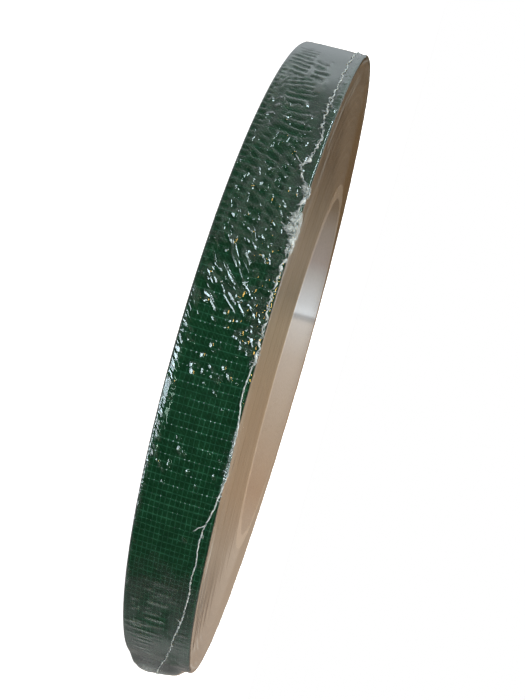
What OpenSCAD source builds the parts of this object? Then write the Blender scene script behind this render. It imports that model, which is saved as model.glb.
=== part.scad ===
// A roll of cloth anchor tape wound on a board core, sealed in two webs of clear shrink film.
// The roll lies on one flank. +Z is its axis, and the lower web's outer face is at z = 0.
// The winding is slightly dished: its inner turns and the core stand out of the upper flank,
// and are as far back from the lower one.

/* [Tape] */
// Width of the tape
tape_w = 12; // [8:1:25]
// Length of the tape, in metres
tape_length = 50; // [20:5:80]
// Diameter of the full winding, free end included
roll_d = 133; // [110:1:180]
// How far the core stands out of the upper flank
dish = 1; // [0.2:0.1:3]
// Direction of the tape's free end, in degrees from +X
tail_angle = 118; // [0:1:360]
// Arc by which the free end stops short of a whole turn
tail_gap = 3; // [1:1:20]

/* [Core] */
// Bore of the core
core_bore_d = 76.2; // [70:0.1:90]
// Thickness of one of the core's five plies of board
ply_t = 0.6; // [0.3:0.1:1]
// Gap where the two edges of a ply's strip meet
ply_joint_gap = 0.4; // [0.1:0.1:1]
// Slope of that gap, from the helix that the ply is wound on
ply_joint_slope = 30; // [25:5:60]

/* [Film] */
// Thickness of the film
film_t = 0.1; // [0.05:0.05:0.2]
// Air between the outer turn and the film
film_gap = 0.05; // [0.05:0.05:0.5]
// How far below the upper flank's rim the two webs are welded together
weld_drop = 1.5; // [1:0.1:5]
// Height of the weld bead
bead_h = 0.6; // [0.2:0.1:1]
// How far the weld bead stands proud of the film
bead_proud = 0.5; // [0.2:0.1:1]

/* [Hidden] */
$fn = 180;

ply_count = 5;
core_r = core_bore_d / 2 + ply_count * ply_t;
roll_r = roll_d / 2;

// Heights of the winding's rim and of the core, which the dish lifts
rim_low_z = film_t;
rim_top_z = rim_low_z + tape_w;
core_low_z = rim_low_z + dish;
core_top_z = rim_top_z + dish;
weld_z = rim_top_z + film_t - weld_drop;

// The wound tape fills the ring between the core and the full winding, so its thickness follows
// from its length. The tape's outline is a spiral that gains one thickness in each turn.
tape_t = PI * (pow(roll_r, 2) - pow(core_r, 2)) / (tape_length * 1000);
winding_r = roll_r - 2 * tape_t;

// The last turns lie level, and the dish starts inside them
level_turns = 6;
level_r = winding_r - level_turns * tape_t;

film_inner_r = roll_r + film_gap;
film_r = film_inner_r + film_t;
bead_r = film_r + bead_proud;

cut = 1; // how far a cutting solid passes the face that it cuts

// A round tube on the roll's axis
module tube(inner_r, outer_r, low_z, height) {
    translate([0, 0, low_z])
        difference() {
            cylinder(r = outer_r, h = height);
            translate([0, 0, -cut]) cylinder(r = inner_r, h = height + 2 * cut);
        }
}

// Half of a disc, on the +Y side, or on the -Y side when side is -1
module half_disc(r, centre_x, side, height) {
    intersection() {
        translate([centre_x, 0, rim_low_z]) cylinder(r = r, h = height);
        translate([-2 * r, side > 0 ? 0 : -2 * r, rim_low_z]) cube([4 * r, 2 * r, height]);
    }
}

// A disc bounded by one turn of a two-centre spiral. Its radius is start_r just past the +X
// axis and start_r + tape_t just before it, where a step one tape thick faces +Y.
module spiral_disc(start_r, height) {
    half_disc(start_r, 0, 1, height);
    half_disc(start_r + tape_t / 2, tape_t / 2, -1, height);
}

// One ply of the core: a ring of board with a sloping butt joint. The joints are spread
// evenly, so that no two of them lie over each other.
module core_ply(index) {
    inner_r = core_bore_d / 2 + index * ply_t;
    joint_length = 2 * tape_w / sin(ply_joint_slope);
    joint_depth = core_bore_d / 2;
    color("burlywood")
        difference() {
            tube(inner_r, inner_r + ply_t, core_low_z, tape_w);
            rotate([0, 0, index * 2 * 360 / ply_count])
                translate([inner_r + ply_t / 2, 0, core_low_z + tape_w / 2])
                    rotate([ply_joint_slope, 0, 0])
                        cube([joint_depth, joint_length, ply_joint_gap], center = true);
        }
}

module core_ply_1() { core_ply(0); }
module core_ply_2() { core_ply(1); }
module core_ply_3() { core_ply(2); }
module core_ply_4() { core_ply(3); }
module core_ply_5() { core_ply(4); }

// The space that the dished winding fills, as a turned ring
module dished_ring() {
    rotate_extrude()
        polygon([
            [core_r, core_low_z], [level_r, rim_low_z], [roll_r + cut, rim_low_z],
            [roll_r + cut, rim_top_z], [level_r, rim_top_z], [core_r, core_top_z]
        ]);
}

// Every turn of the tape but the last
module tape_winding() {
    color("tan")
        intersection() {
            dished_ring();
            rotate([0, 0, tail_angle]) spiral_disc(winding_r, tape_w + dish);
        }
}

// The last turn, which starts against the winding's step and stops short of a whole turn
module tape_outer_turn() {
    color([0.04, 0.22, 0.13])
        rotate([0, 0, tail_angle])
            difference() {
                spiral_disc(winding_r + tape_t, tape_w);
                spiral_disc(winding_r, tape_w);
                translate([winding_r - cut, -tail_gap, rim_low_z - cut])
                    cube([2 * tape_t + 2 * cut, tail_gap, tape_w + 2 * cut]);
            }
}

// The web over the upper flank: level over the core and its bore, then down the dish to the rim
// and round it to the weld
module film_upper_web() {
    color([0.9, 0.93, 0.95, 0.3])
        rotate_extrude()
            polygon([
                [0, core_top_z + film_t], [core_r, core_top_z + film_t],
                [level_r, rim_top_z + film_t], [film_r, rim_top_z + film_t],
                [film_r, weld_z], [film_inner_r, weld_z],
                [film_inner_r, rim_top_z], [level_r, rim_top_z],
                [core_r, core_top_z], [0, core_top_z]
            ]);
}

// The web under the roll, drawn flat from rim to rim, and up round the band to the weld
module film_lower_web() {
    color([0.9, 0.93, 0.95, 0.3])
        rotate_extrude()
            polygon([
                [0, 0], [film_r, 0], [film_r, weld_z],
                [film_inner_r, weld_z], [film_inner_r, film_t], [0, film_t]
            ]);
}

// The bead of melted film that joins the two webs
module film_weld_bead() {
    color([0.93, 0.95, 0.96, 0.8]) tube(film_r, bead_r, weld_z - bead_h / 2, bead_h);
}

core_ply_1();
core_ply_2();
core_ply_3();
core_ply_4();
core_ply_5();
tape_winding();
tape_outer_turn();
film_upper_web();
film_lower_web();
film_weld_bead();
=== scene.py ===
"""Looks of a narrow roll of green cloth anchor tape, sealed in clear shrink film.

The roll lies on one flank. Places on it are given by two numbers: an angle t, in degrees round the
axis from the side that faces the camera (-Y) and towards +X, and a height s, in mm up the band from
the lower rim. Past a rim, s runs on across the flank.
"""

import math

import bpy
import numpy as np
from mathutils import Matrix, Vector


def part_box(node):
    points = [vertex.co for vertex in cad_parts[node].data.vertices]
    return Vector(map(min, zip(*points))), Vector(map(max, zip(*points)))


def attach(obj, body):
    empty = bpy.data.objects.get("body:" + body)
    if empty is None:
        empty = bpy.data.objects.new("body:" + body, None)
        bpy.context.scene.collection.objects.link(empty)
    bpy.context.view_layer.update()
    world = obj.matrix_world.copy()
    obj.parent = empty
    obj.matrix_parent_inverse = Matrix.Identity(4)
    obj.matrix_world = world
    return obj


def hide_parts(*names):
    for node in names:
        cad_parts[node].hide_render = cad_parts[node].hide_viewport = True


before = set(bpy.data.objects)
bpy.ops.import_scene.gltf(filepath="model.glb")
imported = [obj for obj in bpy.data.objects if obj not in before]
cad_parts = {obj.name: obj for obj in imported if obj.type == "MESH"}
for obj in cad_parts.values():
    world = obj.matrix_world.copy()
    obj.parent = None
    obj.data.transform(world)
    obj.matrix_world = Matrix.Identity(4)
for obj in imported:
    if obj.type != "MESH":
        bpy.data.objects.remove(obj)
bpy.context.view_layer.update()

MM = 0.001

# ---- sizes, in mm, from the frame


def top_of(node):
    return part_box(node)[1].z / MM


def bottom_of(node):
    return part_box(node)[0].z / MM


def radius_of(node):
    low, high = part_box(node)
    return (high.y - low.y) / 2 / MM


FILM_R = radius_of("film_lower_web")
ROLL_R = radius_of("tape_outer_turn")
CORE_R = radius_of("core_ply_5")
BORE_R = 2 * radius_of("core_ply_1") - radius_of("core_ply_2")
RIM_LOW = bottom_of("tape_outer_turn")
RIM_TOP = top_of("tape_outer_turn")
DISH = top_of("core_ply_5") - RIM_TOP
TAPE_W = RIM_TOP - RIM_LOW
ROLL_H = RIM_TOP + RIM_LOW
TAPE_LENGTH = 50_000
TAPE_T = math.pi * (ROLL_R**2 - CORE_R**2) / TAPE_LENGTH
WINDING_R = ROLL_R - 2 * TAPE_T
TAIL_T = 208  # the angle t of the tape's free end
COLUMNS = 1536  # round the film: it halves several times towards the centre of a flank


# ---- mesh helpers


def at(t_deg, r, z):
    """Points in metres, from the angle t in degrees and a radius and height in mm."""
    t = np.radians(t_deg)
    r, z = np.broadcast_arrays(r, z)
    t = np.broadcast_to(t, r.shape)
    return np.stack([r * np.sin(t), -r * np.cos(t), z], -1) * MM


def quads(rows, cols, ring=False):
    """Faces of a grid of points. A ring's last column joins its first."""
    faces = []
    for i in range(rows - 1):
        for j in range(cols if ring else cols - 1):
            k = (j + 1) % cols
            faces.append((i * cols + j, i * cols + k, (i + 1) * cols + k, (i + 1) * cols + j))
    return faces


def new_mesh(name, points, faces, smooth=True):
    mesh = bpy.data.meshes.new(name)
    mesh.from_pydata(np.asarray(points, float).reshape(-1, 3).tolist(), [], faces)
    mesh.polygons.foreach_set("use_smooth", [smooth] * len(mesh.polygons))
    mesh.update()
    piece = bpy.data.objects.new(name, mesh)
    bpy.context.scene.collection.objects.link(piece)
    return piece


def joined(name, parts):
    points, faces, start = [], [], 0
    for p, f in parts:
        points.append(p)
        faces += [tuple(i + start for i in face) for face in f]
        start += len(p)
    return new_mesh(name, np.concatenate(points), faces)


def attribute(piece, name, values):
    layer = piece.data.attributes.new(name, "FLOAT", "POINT")
    layer.data.foreach_set("value", np.asarray(values, np.float32).ravel())


def smoothstep(x, low, high):
    k = np.clip((np.asarray(x, float) - low) / (high - low), 0, 1)
    return k * k * (3 - 2 * k)


def zone(values, span, soft):
    """1 inside a span and 0 outside it, with soft ends."""
    low, high = span
    return smoothstep(values, low - soft, low + soft) * (1 - smoothstep(values, high - soft, high + soft))


def wrap_deg(t):
    return (np.asarray(t, float) + 180) % 360 - 180


def direction(azimuth, elevation):
    """Azimuth from the camera's side of the roll (-Y) towards +X, and elevation, in degrees."""
    a, e = math.radians(azimuth), math.radians(elevation)
    return (math.sin(a) * math.cos(e), -math.cos(a) * math.cos(e), math.sin(e))


def ring_noise(rng, t_deg, waves, low, high):
    """A smooth random curve round the roll, with about one unit of swing."""
    t = np.radians(t_deg)
    total = np.zeros_like(t)
    for _ in range(waves):
        total += np.cos(rng.integers(low, high) * t + rng.uniform(0, 2 * np.pi))
    return total / math.sqrt(waves / 2)


def gradient_noise(x, y, around, seed):
    """Smooth noise, from about -0.7 to 0.7, that repeats after a whole number of cells along x."""
    cells_up = 97
    turn = np.random.default_rng(seed).uniform(0, 2 * np.pi, (around, cells_up))
    i, j = np.floor(x).astype(int), np.floor(y).astype(int)
    u, v = x - i, y - j
    fu, fv = (w**3 * (w * (6 * w - 15) + 10) for w in (u, v))

    def corner(di, dj):
        a = turn[(i + di) % around, (j + dj) % cells_up]
        return np.cos(a) * (u - di) + np.sin(a) * (v - dj)

    low = corner(0, 0) * (1 - fu) + corner(1, 0) * fu
    high = corner(0, 1) * (1 - fu) + corner(1, 1) * fu
    return low * (1 - fv) + high * fv


def through(points, t_deg):
    """A smooth closed curve of s against t through a few points, by cubic Hermite pieces."""
    ts, ss = (np.array(v, float) for v in zip(*points))
    ts = np.concatenate([ts[-2:] - 360, ts, ts[:2] + 360])
    ss = np.concatenate([ss[-2:], ss, ss[:2]])
    slope = np.gradient(ss, ts)
    t = np.asarray(t_deg, float)
    i = np.clip(np.searchsorted(ts, t) - 1, 0, len(ts) - 2)
    span = ts[i + 1] - ts[i]
    u = (t - ts[i]) / span
    return (
        (2 * u**3 - 3 * u**2 + 1) * ss[i]
        + (u**3 - 2 * u**2 + u) * span * slope[i]
        + (-2 * u**3 + 3 * u**2) * ss[i + 1]
        + (u**3 - u**2) * span * slope[i + 1]
    )


# ---- the film's wrinkles

# Where the grid's columns are closer together, because the film is wrinkled more finely there: t span,
# how softly it ends, and how much closer they are
CROWDED = [((-78, 60), 12, 2.3), ((-36, 24), 6, 5.2)]


def columns():
    t = np.linspace(-180, 180, 7201)
    density = 1.2 + sum(gain * zone(t, span, soft) for span, soft, gain in CROWDED)
    count = np.concatenate([[0], np.cumsum((density[1:] + density[:-1]) / 2)])
    return np.interp(np.arange(COLUMNS) / COLUMNS, count / count[-1], t)


T_COLS = columns()
S_LOW, S_HIGH, S_STEP = -3.0, 20.0, 0.06
S_ROWS = np.arange(S_LOW, S_HIGH + S_STEP / 2, S_STEP)
ARC_COLS = np.radians(T_COLS) * FILM_R
lift = np.zeros((len(S_ROWS), COLUMNS))  # how far the film stands off the tape
stuck = np.zeros_like(lift)  # where quilted film is stuck to the tape
quilted = np.zeros_like(lift)  # and where it is quilted at all


def grid_noise(cell_t, cell_s, around, seed, shift=40):
    """Noise over the whole grid, from the size of its cells round the roll and up it, in mm."""
    return gradient_noise(*np.meshgrid(ARC_COLS / cell_t, S_ROWS / cell_s + shift), around, seed)


def area(t_span, t_soft, s_span, s_soft, t_drift=0, s_drift=0):
    """1 inside a part of the grid and 0 outside it. Its soft edges may drift in and out."""
    return zone(T_COLS[None, :] + t_drift, t_span, t_soft) * zone(S_ROWS[:, None] + s_drift, s_span, s_soft)


def patch(t0, s0, reach):
    """The grid's points near a place, and how far round the roll and up it they are from there, in mm."""
    cols = np.nonzero(np.abs(wrap_deg(T_COLS - t0)) < np.degrees(reach / FILM_R))[0]
    rows = np.nonzero(np.abs(S_ROWS - s0) < reach)[0]
    da = np.radians(wrap_deg(T_COLS[cols] - t0))[None, :] * FILM_R
    return np.ix_(rows, cols), da, (S_ROWS[rows] - s0)[:, None]


def crest_net(t_span, s_span, slant, pitch, reach, height, width, fill, seed):
    """Raises a net of slanted crests with sunk lenses between them, as film has that shrank too little."""
    around = round(2 * math.pi * FILM_R / pitch)
    cell = 2 * math.pi * FILM_R / around
    sway = 0.35 * grid_noise(6, 5, 70, seed + 1)
    arc = ARC_COLS[None, :] - S_ROWS[:, None] * math.tan(math.radians(slant)) + sway * cell
    up = np.broadcast_to(S_ROWS[:, None] / reach + 30, arc.shape)
    net = gradient_noise(arc / cell, up, around, seed)
    kept = gradient_noise(arc / cell / 1.7 + 5, up * 1.3, round(around / 1.7), seed + 2)
    crest = np.exp(-((net / width) ** 2)) * smoothstep(kept, 0.25 - fill, 0.55 - fill)
    lift[:] = np.maximum(lift, crest * area(t_span, 2.0, s_span, 0.35) * height)


def lens_row(t_span, s_mid, half, slant, pitch, height, blur, jitter, seed):
    """Film that stands off the tape round a row of dark, lens-shaped dips where it is stuck down to it."""
    rng = np.random.default_rng(seed)
    wander = 0.5 * grid_noise(5, 4, 84, seed + 1)
    leaning = (S_ROWS[:, None] - s_mid) * math.tan(math.radians(slant))
    phase = (ARC_COLS[None, :] - leaning) / pitch + wander
    phase -= phase.min()
    k = phase.astype(int)
    middle = s_mid + rng.normal(0, jitter, k.max() + 1)
    reach = half * rng.uniform(0.6, 1.15, k.max() + 1)
    girth = rng.uniform(0.55, 0.85, k.max() + 1)
    v = (S_ROWS[:, None] - middle[k]) / reach[k]
    inside_lens = girth[k] * np.sqrt(np.clip(1 - v * v, 0, 1)) - np.abs(2 * (phase - k) - 1)
    dips = smoothstep(inside_lens, 0.05 - blur, 0.05 + blur)
    drift = 2.0 * grid_noise(3, 1.5, 140, seed + 2)
    inside = area(t_span, 1.2, (s_mid - half, s_mid + half), 0.6, drift)
    lift[:] = np.maximum(lift, height * (1 - dips) * inside)
    stuck[:] = np.maximum(stuck, dips * inside)
    quilted[:] = np.maximum(quilted, inside)


def ridge(t0, s0, slant_deg, half_length, width, height, bend=0.0, lee=1.0, under=None, blunt=0.35):
    """Raises one crest, at a slant from the roll's axis, towards +t.

    Its lee side may be a few times as wide as the other. It stands on the surface under, if one is given,
    and keeps its full height over the share blunt of its length.
    """
    block, da, ds = patch(t0, s0, half_length + 4 * width)
    c, s = math.cos(math.radians(slant_deg)), math.sin(math.radians(slant_deg))
    along, across = ds * c + da * s, -ds * s + da * c
    across = across + bend * (along**2 - half_length**2 / 2)
    fade = 1 - smoothstep(np.abs(along) / half_length, blunt, 1.0)
    shape = np.exp(-((across / np.where(across > 0, lee * width, width)) ** 2)) * fade * height
    if under is not None:
        shape = shape + under[block]
    lift[block] = np.maximum(lift[block], shape)


def comb(t_span, s_mid, slant, pitch, half_length, width, height, bend, seed):
    """Raises a row of crests side by side, as film has where it shrank in one direction only."""
    rng = np.random.default_rng(seed)
    t = t_span[0]
    while t < t_span[1]:
        half = half_length * rng.uniform(0.7, 1.15)
        ridge(t, s_mid + rng.normal(0, 0.16) * half_length, rng.normal(slant, 4), half,
              width * rng.uniform(0.8, 1.2), height * rng.uniform(0.6, 1.1), rng.normal(bend, 0.02))
        t += math.degrees(pitch * rng.uniform(0.65, 1.35) / FILM_R)


# Rows of crests: t span, middle s, slant, pitch, half length, width, height, bend and a seed
COMBS = [
    ((-46, -10), 0.7, 6, 1.3, 1.2, 0.16, 0.16, 0.06, 204),
    ((-66, -34), 11.5, 14, 0.8, 0.9, 0.14, 0.17, 0.05, 205),
    ((35, 47), 6.0, 0, 1.7, 3.4, 0.20, 0.19, 0.05, 206),
    ((40, 49), 2.6, 4, 1.2, 1.4, 0.18, 0.20, 0.12, 207),
    ((46, 60), 3.6, 4, 1.9, 3.4, 0.24, 0.20, 0.04, 208),
    ((44, 70), 10.6, -6, 1.8, 1.3, 0.20, 0.14, 0.06, 209),
    ((58, 80), 4.5, 8, 2.2, 3.6, 0.28, 0.18, 0.02, 210),
    ((84, 276), 3.6, 4, 3.4, 3.4, 0.50, 0.34, 0.02, 211),
    ((84, 276), 9.4, -4, 3.0, 2.4, 0.45, 0.30, 0.02, 212),
    ((276, 297), 5.0, 0, 2.8, 3.6, 0.40, 0.12, 0.02, 213),
]

# Nets of crests, each with: t span, s span, slant, pitch round the roll, reach up it, crest height,
# crest width, how much of the net is there, and a seed
NETS = [
    ((-21, -3), (0.6, 8.6), 36, 1.3, 4.2, 0.09, 0.12, 0.10, 106),
    ((-20, -2), (7.4, 11.8), 44, 1.1, 2.0, 0.07, 0.12, 0.25, 107),
    ((-8, 20), (-0.9, 1.7), 50, 0.95, 2.8, 0.20, 0.13, 0.50, 108),
    ((16, 38), (-0.9, 0.9), 44, 0.9, 1.8, 0.18, 0.18, 0.55, 109),
    ((84, 276), (0.0, 11.9), 14, 3.4, 5.0, 0.20, 0.16, 0.35, 112),
]

# Rows of dips: t span, middle s, half length, slant, pitch round the roll, height, how softly a dip ends,
# jitter and a seed
LENS_ROWS = [
    ((-57, -44), 3.0, 2.5, 5, 1.9, 0.15, 0.17, 0.35, 301),
    ((-52, -44), 6.8, 1.6, 12, 2.2, 0.13, 0.17, 0.5, 302),
    ((-45, -40), 4.8, 4.0, -12, 1.4, 0.15, 0.17, 0.4, 303),
    ((-41, -35), 5.0, 2.1, 2, 2.0, 0.16, 0.2, 0.2, 304),
    ((-36, -28), 6.4, 3.2, 6, 1.7, 0.20, 0.3, 0.5, 305),
    ((-49, -14), 0.6, 1.3, 10, 1.35, 0.20, 0.35, 0.2, 306),
    ((-32, -13), 2.8, 1.3, 22, 1.6, 0.27, 0.4, 0.35, 307),
    ((-31, -13), 5.3, 1.4, 22, 1.7, 0.27, 0.4, 0.45, 308),
    ((-30, -12), 8.1, 1.4, 26, 1.6, 0.27, 0.4, 0.4, 309),
]

# The clearest single crests: t, s, slant, half length, width, height and bend
CRESTS = [
    (-24.3, 2.6, 10, 0.9, 0.20, 0.24, 0.05), (-21.0, 4.7, 25, 0.8, 0.18, 0.22, 0.10),
    (-19.8, 4.4, 0, 2.0, 0.16, 0.20, -0.12), (-21.6, 4.2, -5, 1.8, 0.16, 0.18, 0.12),
    (-17.5, 2.1, 30, 1.3, 0.20, 0.30, 0.05), (-17.1, 5.9, 32, 0.9, 0.18, 0.26, 0.10),
    (-14.9, 8.2, 42, 1.9, 0.17, 0.30, -0.16), (-15.3, 7.3, 10, 0.6, 0.16, 0.24, 0.30),
    (-14.1, 4.8, 24, 1.3, 0.17, 0.28, 0.05), (-11.4, 5.0, 56, 2.2, 0.18, 0.32, 0.04),
    (-11.8, 7.1, 31, 1.8, 0.18, 0.30, 0.06), (-9.5, 3.5, 24, 1.9, 0.18, 0.30, 0.08),
    (-8.0, 3.1, 20, 1.1, 0.20, 0.32, 0.08), (-5.8, 2.9, 34, 1.4, 0.20, 0.34, 0.05),
    (-6.6, 5.2, 38, 1.0, 0.16, 0.24, 0.10), (-3.2, 4.6, 40, 0.7, 0.18, 0.24, 0.20),
    (-1.4, 1.5, 40, 1.4, 0.18, 0.30, 0.08), (0.0, 1.9, 52, 0.9, 0.18, 0.28, 0.10),
    (3.3, 9.1, 55, 0.8, 0.18, 0.28, 0.08), (3.0, 6.6, 42, 1.4, 0.15, 0.24, 0.05),
    (4.0, 7.0, 30, 0.9, 0.15, 0.20, 0.10), (12.4, 4.2, 20, 0.5, 0.16, 0.20, 0.30),
    (14.0, 4.8, 50, 0.8, 0.18, 0.24, 0.10), (16.4, 2.4, 60, 0.9, 0.18, 0.24, 0.06),
    (17.0, 3.0, 58, 0.7, 0.16, 0.22, 0.10), (-84.0, 10.5, 90, 1.8, 0.90, 0.90, 0.0),
]


def draw_crests():
    for t, s, slant, half, width, height, bend in CRESTS:
        ridge(t, s, slant, half, 0.62 * width, 0.62 * height, bend, 2.5)
    rng = np.random.default_rng(14)
    for _ in range(14):  # a few dimples where the film is tight
        ridge(rng.uniform(2, 34), rng.uniform(1.5, 11), rng.normal(40, 30), rng.uniform(0.15, 0.4),
              rng.uniform(0.11, 0.15), rng.uniform(0.04, 0.09), rng.normal(0, 0.3), 2.0)


COOL_LAMP = (-77, 32)  # azimuth and elevation of the middle of a strip light
COOL_STRIP = [(-62, 38), (-71, 34.5), (-80, 31), (-89, 27)]
WARM_LAMP = (-12, 50)
EYE = np.array([0.0, -2.70 * FILM_R, 2.0 * ROLL_H])  # about where the camera is
STEEPEST = 0.86  # slope of the side of a crest that is as high as its width


def facing(lamp, t_deg, s):
    """Slant, and least slope, of a crest there whose one side mirrors a lamp to the front of the roll."""
    t = math.radians(t_deg)
    out = np.array([math.sin(t), -math.cos(t), 0.0])
    along = np.array([math.cos(t), math.sin(t), 0.0])
    spot = FILM_R * out + np.array([0.0, 0.0, s])
    half_way = np.array(direction(*lamp)) + (EYE - spot) / np.linalg.norm(EYE - spot)
    lean_t, lean_s = half_way @ along / (half_way @ out), half_way[2] / (half_way @ out)
    return math.degrees(math.atan2(lean_s, -lean_t)), math.hypot(lean_s, lean_t)


def lit_ridge(rng, lamp, t, s, half, width, spread, lee, under):
    slant, slope = facing(lamp, t, s)
    height = width * slope / STEEPEST * rng.uniform(1.15, 2.0)
    slant += rng.normal(0, spread)
    ridge(t, s, slant, half, width, height, rng.normal(0, 0.05 / (1 + half)), lee, under, 0.6)


# Crests that face the cool lamp: how many, t span, s span, half length, width and spread of slant
STROKES = [
    (76, (-22, -5), (0.4, 9.6), (1.1, 2.3), 0.12, 4),
    (20, (-20, -4), (0.4, 9.8), (0.25, 0.6), 0.10, 8),
    (34, (-35, -18), (0.4, 10.4), (0.5, 1.3), 0.12, 7),
    (26, (-44, -26), (0.2, 2.4), (0.4, 0.9), 0.11, 8),
    (8, (-6, 3), (0.4, 5.0), (0.3, 0.8), 0.09, 8),
    (12, (-12, 0), (9.0, 11.6), (0.2, 0.5), 0.09, 10),
    (4, (10, 20), (0.8, 4.0), (0.2, 0.5), 0.09, 10),
]
# The longest of them: t, s, slant, half length, width, height and bend
LONG_STROKES = [
    (-16.8, 8.5, 84, 1.7, 0.12, 0.18, 0.14), (-21.3, 6.2, 12, 3.4, 0.11, 0.16, 0.03),
    (-19.0, 9.9, 28, 1.6, 0.11, 0.16, -0.10), (-24.6, 8.0, 20, 2.0, 0.11, 0.15, 0.06),
    (-17.6, 10.4, 70, 1.4, 0.11, 0.16, -0.12), (-23.0, 2.4, -6, 1.9, 0.10, 0.15, 0.08),
]
# Crests that face the warm lamp: how many, t span, middle s, spread of s, width
GLINTS = [
    (170, (-16, 0), 11.9, 1.9, 0.14),
    (26, (-22, -4), 6.0, 2.6, 0.14),
    (40, (-38, -20), 6.0, 3.0, 0.14),
    (16, (0, 6), 6.5, 2.2, 0.10),
    (8, (12, 27), 8.0, 2.4, 0.09),
]


def softened(field, rows, cols):
    """The field averaged over a few rows and columns."""
    field = sum(np.roll(field, k, 0) for k in range(-rows, rows + 1)) / (2 * rows + 1)
    return sum(np.roll(field, k, 1) for k in range(-cols, cols + 1)) / (2 * cols + 1)


def draw_strokes():
    """Slanted crests on the most wrinkled part."""
    rng = np.random.default_rng(16)
    under = np.maximum(softened(lift, 6, 5), lift - 0.05)
    for count, t_span, s_span, half, width, spread in STROKES:
        for _ in range(count):
            lit_ridge(rng, COOL_LAMP, rng.uniform(*t_span), rng.uniform(*s_span), rng.uniform(*half),
                      width * rng.uniform(0.8, 1.15), spread, 1.4, under)
    for row in LONG_STROKES:
        ridge(*row, 2.0, under)


def draw_glints():
    """Short crests that face the warm lamp, most of them near the upper rim."""
    rng = np.random.default_rng(18)
    under = lift.copy()
    for count, t_span, middle, spread, width in GLINTS:
        for _ in range(count):
            s = middle - abs(rng.normal(0, spread)) if middle > 11 else rng.normal(middle, spread)
            lit_ridge(rng, WARM_LAMP, rng.uniform(*t_span), s, rng.uniform(0.2, 0.7), width, 6, 4.0, under)


def draw_blisters():
    """Small round blisters, each a ring of crest with a sunk middle."""
    rng = np.random.default_rng(17)
    for _ in range(10):
        t0, s0 = rng.uniform(-33, -14), rng.uniform(0.6, 9.8)
        size, stretch = rng.uniform(0.35, 0.85), rng.uniform(1.2, 2.4)
        height, width = rng.uniform(0.12, 0.22), rng.uniform(0.10, 0.14)
        block, da, ds = patch(t0, s0, 3)
        a = np.arctan2(da, ds)
        outline = size * (1 + 0.18 * np.sin(2 * a + t0) + 0.1 * np.sin(3 * a + s0))
        ring = np.sqrt((ds / stretch) ** 2 + da**2) - outline
        shape = height * np.exp(-((ring / width) ** 2)) * (0.65 + 0.35 * np.sin(a + 7 * s0))
        lift[block] = np.maximum(lift[block], shape)


def draw_rim_gathers():
    """Short pleats over both rims, where the film had to shrink most."""
    rng = np.random.default_rng(12)
    for rim_s in (0.0, TAPE_W):
        t = -180.0
        while t < 180:
            pitch = rng.uniform(0.45, 1.1)
            t += math.degrees(pitch / FILM_R)
            half = rng.uniform(0.5, 1.4)
            inward = 0.5 * half if rim_s else -0.4 * half
            ridge(t, rim_s + inward * rng.uniform(-1, 1), rng.normal(0, 9), half,
                  pitch * 0.28, rng.uniform(0.02, 0.08))


# The two swells of the loose bag at the lower end of the view: middle t and s, reach in mm towards -t,
# towards +t and up or down, and height
BAG_SWELLS = [(75.5, 4.6, 17.0, 7.5, 9.6, 2.05), (71, 2.6, 8, 6, 3.0, 0.35)]


def draw_bag():
    for t_mid, s_mid, before, after, up, height in BAG_SWELLS:
        block, da, ds = patch(t_mid, s_mid, max(before, after, up))
        reach = np.sqrt((da / np.where(da < 0, before, after)) ** 2 + (ds / up) ** 2)
        below_rim = 1 - smoothstep(s_mid + ds, 9.0, 11.6)
        lift[block] += height * (1 - smoothstep(reach, 0.2, 1.0)) * below_rim


def draw_rolled_rim():
    """A swelling just above the lower rim, from which the film bends down and under."""
    swell = np.exp(-(((S_ROWS - 1.15) / 0.55) ** 2))[:, None] * zone(T_COLS, (-12, 26), 5)[None, :]
    lift[:] = np.maximum(lift, 0.5 * lift + 0.15 * swell)


for row in NETS:
    crest_net(*row)
for row in LENS_ROWS:
    lens_row(*row)
for row in COMBS:
    comb(*row)
draw_crests()
draw_strokes()
draw_blisters()
draw_glints()
draw_rim_gathers()
sharp = lift.copy()  # the crests alone, without what swells under them
draw_rolled_rim()
draw_bag()
lift += 0.015 * (1 + ring_noise(np.random.default_rng(13), T_COLS, 12, 5, 40))[None, :]
lift = np.clip(lift, 0, None)

# Where the film lies hard against the tape it mirrors half as much: in the lenses between crests,
# and all over the tight part.
TIGHT = [
    ((-18, 33), (-0.5, 12.0)), ((41, 49), (1.8, 8.6)), ((56, 63), (7.6, 10.2)), ((100, 270), (0.5, 11.5)),
]


def touching_tape():
    drift_t = 5 * grid_noise(4.2, 2.6, 100, 71, 50)
    drift_s = 1.8 * grid_noise(2.8, 3.5, 150, 72, 50)
    patches = np.zeros_like(lift)
    for t_span, s_span in TIGHT:
        patches = np.maximum(patches, area(t_span, 3, s_span, 0.6, drift_t, drift_s))
    patches = patches * (1 - smoothstep(sharp, 0.03, 0.09))
    return patches * (1 - quilted) + stuck


touch = touching_tape()


def on_columns(field, s):
    """A field's value on every column, at a height s that may differ from column to column."""
    s = np.broadcast_to(np.asarray(s, float), T_COLS.shape)
    place = np.clip((s - S_LOW) / S_STEP, 0, len(S_ROWS) - 1.001)
    i = place.astype(int)
    k = place - i
    cols = np.arange(COLUMNS)
    return field[i, cols] * (1 - k) + field[i + 1, cols] * k


def lift_at(t_deg, s):
    """The wrinkles' height at any angle and height."""
    cols = np.clip(np.searchsorted(T_COLS, wrap_deg(t_deg)), 0, COLUMNS - 1)
    rows = np.clip(((np.asarray(s) - S_LOW) / S_STEP).astype(int), 0, len(S_ROWS) - 1)
    return lift[rows, cols]


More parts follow.
